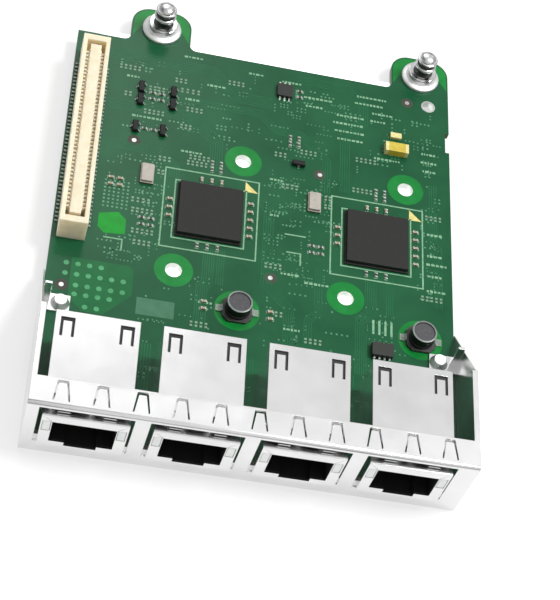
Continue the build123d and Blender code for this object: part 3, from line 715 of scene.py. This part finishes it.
def leg(mesh, root, out, across):
    """Adds one leg that leaves a body at half height, bends down and ends in a flat foot."""
    side = [(-0.05, 0.55), (0.16, 0.55), (0.3, leg_sheet), (leg_reach, leg_sheet), (leg_reach, 0.0),
            (0.2, 0.0), (0.08, 0.4), (-0.05, 0.4)]
    edges = []
    for shift in (-leg_width / 2, leg_width / 2):
        edges.append([mesh.verts.new(root + (out * reach + across * shift + Vector((0, 0, rise))) * MM)
                      for reach, rise in side])
    count = len(side)
    for i in range(count):
        j = (i + 1) % count
        mesh.faces.new((edges[0][i], edges[0][j], edges[1][j], edges[1][i]))
    mesh.faces.new(edges[0])
    mesh.faces.new(list(reversed(edges[1])))


for low, high in solids_of("small_transistors"):
    middle = (low + high) / 2
    lengthways = high.y - low.y > high.x - low.x
    out = Vector((1, 0, 0)) if lengthways else Vector((0, 1, 0))
    across = Vector((0, 1, 0)) if lengthways else Vector((-1, 0, 0))
    half_out = abs((high - low).dot(out)) / 2 - leg_reach * MM
    half_across = abs((high - low).dot(across)) / 2
    rings = []
    for height, inset in ((body_foot, draft), (body_parting, 0.0), (body_top, draft)):
        ring = []
        for a, b in ((-1, -1), (1, -1), (1, 1), (-1, 1)):
            corner = out * a * (half_out - inset * MM) + across * b * (half_across - inset * MM)
            ring.append(bodies.verts.new((middle.x + corner.x, middle.y + corner.y, deck + height * MM)))
        rings.append(ring)
    for ring, above in zip(rings, rings[1:]):
        for i in range(4):
            j = (i + 1) % 4
            bodies.faces.new((ring[i], ring[j], above[j], above[i]))
    bodies.faces.new(rings[-1])
    bodies.faces.new(list(reversed(rings[0])))
    foot = Vector((middle.x, middle.y, deck))
    leg(legs, foot - out * half_out, -out, across)
    for shift in (-leg_pitch / 2, leg_pitch / 2):
        leg(legs, foot + out * half_out + across * shift * MM, out, across)
bmesh.ops.bevel(bodies, geom=list(bodies.edges), offset=transistor_edge * MM, segments=2, profile=0.5,
                affect="EDGES")
moulded = piece("transistor_bodies", bodies, [transistor_resin], smooth=True)
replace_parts(moulded, "small_transistors")
piece("transistor_legs", legs, [dull_tin])

# Board-to-board connector: a cream moulded trough, with two rows of gold-plated blades on its tongue.
# Ribs part the blades, which run through the floor and end in tinned tails, soldered in two rows.
cream = finish("cream_moulding", tint(224, 208, 176), tint(233, 220, 194), 1.5, (0.45, 0.55), 0.004,
               Subsurface_Weight=0.6, Subsurface_Scale=0.004, Subsurface_Radius=(1.0, 0.75, 0.5))
# Painted light: the gold-plated blades are given a near-white beige, so that the shaded trough between them
# reads light.
gold_with_painted_light = finish("gold_plate_painted_light", tint(238, 222, 186), tint(247, 236, 206), 0.6, (0.4, 0.5),
                   Metallic=0.15)
contact_pitch = 1.0
trough_wall = 0.9
rib_width = 0.46
rib_drop = 0.9
rib_hold = 0.02
dress("connector_housing", cream, edge=0.12)
housing_low, housing_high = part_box("connector_housing")
contact_boxes = solids_of("connector_contacts")
front = min(low.y for low, high in contact_boxes)
rear = max(high.y for low, high in contact_boxes)
rows = {}
for low, high in contact_boxes:
    rows.setdefault(round(low.x / MM, 2), (low, high))
blade_boxes, tail_boxes, rib_boxes = [], [], []
for low, high in rows.values():
    width = high.y - low.y
    count = round((rear - front - width) / (contact_pitch * MM)) + 1
    step = (rear - front - width) / (count - 1)
    starts = [front + step * i for i in range(count)]
    boxes = [(Vector((low.x, y, low.z)), Vector((high.x, y + width, high.z))) for y in starts]
    if low.z < deck + MM:
        tail_boxes += boxes
        continue
    blade_boxes += boxes
    if low.x < (housing_low.x + housing_high.x) / 2:
        inner, outer = housing_low.x + (trough_wall - rib_hold) * MM, high.x + rib_hold * MM
    else:
        inner, outer = low.x - rib_hold * MM, housing_high.x - (trough_wall - rib_hold) * MM
    for y in starts[:-1]:
        rib_front = y + (width + step - rib_width * MM) / 2
        rib_boxes.append((Vector((inner, rib_front, low.z - rib_hold * MM)),
                          Vector((outer, rib_front + rib_width * MM, housing_high.z - rib_drop * MM))))
blades = blocks("connector_blades", blade_boxes, gold_with_painted_light, edge=0.04)
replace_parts(blades, "connector_contacts")
blocks("connector_tails", tail_boxes, dull_tin, edge=0.06)
blocks("connector_ribs", rib_boxes, cream, edge=0.04)

# Port sockets: black moulded housings with gold-plated springs, in folded shields of nickel-plated sheet.
# Milky lenses carry the light of the lamps to the front, one at each side of the plug opening.
nickel = finish("nickel_plated_sheet", tint(226, 226, 226), tint(234, 234, 234), 6.0, (0.15, 0.21),
                Metallic=1.0)
black_resin = finish("black_moulding", tint(15, 15, 16), tint(25, 25, 27), 0.4, (0.42, 0.55), 0.003)
gold = finish("gold_plate", tint(196, 150, 62), tint(226, 184, 98), 0.6, (0.2, 0.35), Metallic=1.0)
milky = finish("milky_lens", tint(240, 243, 241), tint(250, 252, 250), 1.5, (0.2, 0.3),
               Transmission_Weight=0.05)
socket_count = 4
for number in range(1, socket_count + 1):
    dress(f"socket_shield_{number}", nickel, edge=0.08)
    dress(f"socket_housing_{number}", black_resin, edge=0.08)
    dress(f"socket_contacts_{number}", gold, edge=0.04)
dress("lamp_lenses", milky, edge=0.2)

# Solder joints: bright cones where the sockets' pins and posts come through the board.
# The pins are dipped in a wave of tin, which climbs them and freezes.
dress("solder_joints", tinned, edge=0.12)

# Face bracket: one strip of nickel-plated spring sheet, cut and folded, with a row of contact fingers.
# Two turned rivets hold its feet to the board.
satin_nickel = finish("satin_nickel", tint(228, 228, 228), tint(238, 238, 238), 1.5, (0.4, 0.5),
                      Metallic=1.0)
bracket_nickel = finish("bracket_nickel", tint(228, 228, 228), tint(236, 236, 236), 6.0, (0.21, 0.26),
                        Metallic=1.0)
dress("face_bracket", bracket_nickel, edge=0.07)
dress("bracket_rivets", satin_nickel, edge=0.2)

# Captive screws: turned from bright steel, with a beaded neck, a short thread and a rounded nose.
# Each hangs in a flanged bushing pressed into a rear ear, kept by an open ring, and has a cross recess.
recess_length = 2.1
recess_half = 0.45
recess_depth = 1.2
thread_pitch = 0.4
thread_rise = 0.14
thread_root = 0.06
thread_start = 0.01
thread_half = thread_pitch / 2.4
bore, barrel = 2.35, 2.8
shank, groove, neck = 2.3, 1.7, 1.9
ring_play = 0.05
nose_length = 1.15
floor_height = 0.001
steel = finish("turned_steel", tint(200, 200, 200), tint(218, 218, 218), 1.5, (0.2, 0.28), Metallic=1.0)
# Painted shade: the neck and the thread are given a dark steel that stands in for the shade in these
# recesses.
painted_shade_steel = finish("steel_painted_shade", tint(62, 62, 63), tint(86, 86, 87), 1.0, (0.28, 0.38), Metallic=1.0)


def bead(radius, height, half, steps=8):
    """Profile points of a round bead on a turned form."""
    turns = [math.pi * (i / steps - 0.5) for i in range(steps + 1)]
    return [(radius - half + half * math.cos(t), height + half * math.sin(t)) for t in turns]


def helix(mesh, middle, radius, low, high, count=48):
    """Adds a three-sided thread ridge that winds up a turned form."""
    steps = int((high - low) / thread_pitch * count)
    before = None
    for i in range(steps + 1):
        turn = 2 * math.pi * i / count
        height = low + thread_pitch * i / count
        rise = thread_rise * min(1.0, i / count * 2, (steps - i) / count * 2) + thread_start
        out = Vector((math.cos(turn), math.sin(turn), 0))
        axis = Vector((middle.x, middle.y, 0))
        root = radius - thread_root
        ridge = ((root, height - thread_half), (radius + rise, height), (root, height + thread_half))
        here = [mesh.verts.new(axis + (out * r + Vector((0, 0, z))) * MM) for r, z in ridge]
        if before:
            for k in range(3):
                after = (k + 1) % 3
                # The thread's flanks take the painted shade.
                flank = mesh.faces.new((before[k], before[after], here[after], here[k]))
                flank.material_index = 1
        else:
            mesh.faces.new(here)
        before = here
    mesh.faces.new(list(reversed(before)))


for name in hands:
    dress(f"retaining_ring_{name}", steel, edge=0.14)
    low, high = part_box(f"screw_bushing_{name}")
    middle = (low + high) / 2
    flange = (high.x - low.x) / 2 / MM
    foot, seat, top = low.z / MM, deck / MM, high.z / MM
    collar = [(bore, foot), (barrel, foot), (barrel, seat), (flange - 0.1, seat), (flange, seat + 0.1),
              (flange, seat + 0.5), (flange - 0.08, seat + 0.68), (flange - 0.25, seat + 0.8),
              (3.45, seat + 0.95), (3.2, seat + 1.1), (3.1, top - 0.08), (3.02, top), (bore + 0.1, top),
              (bore, top - 0.1), (bore, foot)]
    turned = bmesh.new()
    lathe(turned, middle, collar)
    bmesh.ops.remove_doubles(turned, verts=turned.verts, dist=weld_gap * MM)
    bushing = piece(f"flanged_bushing_{name}", turned, [satin_nickel], smooth=True)
    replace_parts(bushing, f"screw_bushing_{name}")
    low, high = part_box(f"captive_screw_{name}")
    head, tip = (high.x - low.x) / 2 / MM, high.z / MM
    ring_low, ring_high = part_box(f"retaining_ring_{name}")
    groove_low, groove_high = ring_low.z / MM - ring_play, ring_high.z / MM + ring_play
    nose = tip - nose_length
    head_run = [(head - 0.25, 0), (head, 0.25), (head, 2.3), (head - 0.2, 2.5), (shank, 2.5),
                (shank, groove_low - 0.08), (2.22, groove_low), (groove, groove_low), (groove, groove_high),
                (2.15, groove_high)]
    neck_run = [(2.2, groove_high + 0.06), (2.1, groove_high + 0.3), (1.95, groove_high + 0.6),
                (1.92, groove_high + 1.2), (1.98, groove_high + 1.6)]
    bead_run = bead(2.38, groove_high + 2.1, 0.36)
    thread_run = [(1.92, groove_high + 2.55), (neck, nose - 0.5)]
    nose_run = bead(2.26, nose - 0.16, 0.28)
    nose_run += [(1.95 * math.cos(t), nose + 0.1 + (tip - nose - 0.1) * math.sin(t))
                 for t in [math.pi / 2 * i / 10 for i in range(10)]]
    nose_run.append((0, tip))
    # The neck and the thread take the painted shade. The head, the bead and the nose take the bright steel.
    screw_finishes = [0] * len(head_run) + [1] * (len(neck_run) - 1) + [0] * len(bead_run)
    screw_finishes += [1] * len(thread_run) + [0] * len(nose_run)
    screw = bmesh.new()
    lathe(screw, middle, head_run + neck_run + bead_run + thread_run + nose_run, finishes=screw_finishes)
    rim_verts = [vert for vert in screw.verts if vert.co.z < floor_height * MM]
    cross = [(recess_length, -recess_half), (recess_length, recess_half), (recess_half, recess_half)]
    outline = []
    for turn in range(4):
        spin = Matrix.Rotation(math.pi / 2 * turn, 2)
        outline += [spin @ Vector(corner) for corner in cross]
    outline = [(middle.x + p.x * MM, middle.y + p.y * MM) for p in outline]
    mouth = [screw.verts.new((*p, 0)) for p in outline]
    bed = [screw.verts.new((*p, recess_depth * MM)) for p in outline]
    mouth_edges = [screw.edges.new((mouth[i - 1], mouth[i])) for i in range(len(mouth))]
    rim_edges = [edge for edge in screw.edges if all(vert in rim_verts for vert in edge.verts)]
    bmesh.ops.triangle_fill(screw, edges=mouth_edges + rim_edges, use_beauty=True)
    for i in range(len(mouth)):
        screw.faces.new((mouth[i - 1], mouth[i], bed[i], bed[i - 1]))
    screw.faces.new(bed)
    helix(screw, middle, neck, groove_high + 2.75, nose - 0.6)
    bolt = piece(f"screw_{name}", screw, [steel, painted_shade_steel], body=f"screw_{name}", smooth=True)
    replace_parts(bolt, f"captive_screw_{name}")

# Studio: a pale light table, as for catalogue pictures, with its brightest pane below the board.
# Wide lamps behind and in front give the sheet metal its sheen, and a small high one the soft shadows.
# A ring of low panels stands round the table, so that the metal shines from every side.
table_white = finish("table_white", tint(157, 157, 157), tint(163, 163, 163), 80.0, (0.7, 0.8),
                     Emission_Color=(1.0, 1.0, 1.0, 1.0), Emission_Strength=0.62)
pane_white = finish("pane_white", tint(184, 184, 184), tint(190, 190, 190), 80.0, (0.7, 0.8),
                    Emission_Color=(1.0, 1.0, 1.0, 1.0), Emission_Strength=1.3)
pane_lift = 0.1
pane_margin = 5.0
table_half = 3.0


def table_plate(name, low, high, height, material):
    """A level rectangle of the table."""
    plate = bmesh.new()
    corners = ((low.x, low.y), (high.x, low.y), (high.x, high.y), (low.x, high.y))
    plate.faces.new([plate.verts.new((x, y, height)) for x, y in corners])
    data = bpy.data.meshes.new(name)
    plate.to_mesh(data)
    plate.free()
    data.materials.append(material)
    made = bpy.data.objects.new(name, data)
    bpy.context.scene.collection.objects.link(made)


table_corner = Vector((table_half, table_half))
table_plate("table", -table_corner, table_corner, 0.0, table_white)
inset = Vector((pane_margin, pane_margin, 0)) * MM
rear_of_sockets = Vector((0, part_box("socket_shield_1")[1].y - board_low.y, 0))
pane_low = board_low + rear_of_sockets + inset
table_plate("bright_pane", pane_low, board_high - inset, pane_lift * MM, pane_white)


def soft_lamp(name, place, size, power):
    """A square soft lamp that faces the card."""
    data = bpy.data.lights.new(name, "AREA")
    data.size = size
    data.energy = power
    lamp = bpy.data.objects.new(name, data)
    lamp.location = place
    lamp.rotation_euler = (-Vector(place)).to_track_quat("-Z", "Y").to_euler()
    bpy.context.scene.collection.objects.link(lamp)


soft_lamp("rear_lamp", (0.1, 0.51, 0.725), 0.9, 1.62)
soft_lamp("left_lamp", (-0.2, 0.51, 0.725), 0.7, 0.2)
soft_lamp("haze_lamp", (-0.13, 0.75, 0.75), 0.45, 1.6)
soft_lamp("front_lamp", (0.1, -0.35, 0.8), 1.1, 2.4)
soft_lamp("high_lamp", (0.42, 0.05, 0.8), 0.25, 6.5)
panel_count = 8
panel_reach, panel_height, panel_size, panel_power = 1.1, 0.42, 0.8, 0.75
for i in range(panel_count):
    turn = 2 * math.pi * i / panel_count
    place = (panel_reach * math.sin(turn), -panel_reach * math.cos(turn), panel_height)
    soft_lamp(f"side_panel_{i}", place, panel_size, panel_power)
sky_strength = 0.15
surround = bpy.data.worlds.new("surround")
surround.use_nodes = True
sky = surround.node_tree.nodes["Background"]
sky.inputs["Color"].default_value = (1.0, 1.0, 1.0, 1.0)
sky.inputs["Strength"].default_value = sky_strength
bpy.context.scene.world = surround
bpy.context.scene.view_settings.view_transform = "Standard"

# Camera: the photograph's view, from the front left and above, rolled a little to the left.
# Its place and lens come from the board's edges, chips, holes and sockets as they lie in the picture.
picture_width = 560
focal_pixels = 1769.5
sensor = 36.0
nearest = 0.01
camera_place = Vector((-54.38, -218.26, 290.83)) * MM
camera_aim = Vector((5.32, -15.76, 4.15)) * MM
camera_roll = math.radians(22.61)
camera_data = bpy.data.cameras.new("camera")
camera_data.sensor_fit = "HORIZONTAL"
camera_data.sensor_width = sensor
camera_data.lens = sensor * focal_pixels / picture_width
camera_data.clip_start = nearest
camera = bpy.data.objects.new("camera", camera_data)
aim = (camera_aim - camera_place).to_track_quat("-Z", "Y").to_matrix().to_4x4()
camera.matrix_world = Matrix.Translation(camera_place) @ aim @ Matrix.Rotation(camera_roll, 4, "Z")
bpy.context.scene.collection.objects.link(camera)
bpy.context.scene.camera = camera
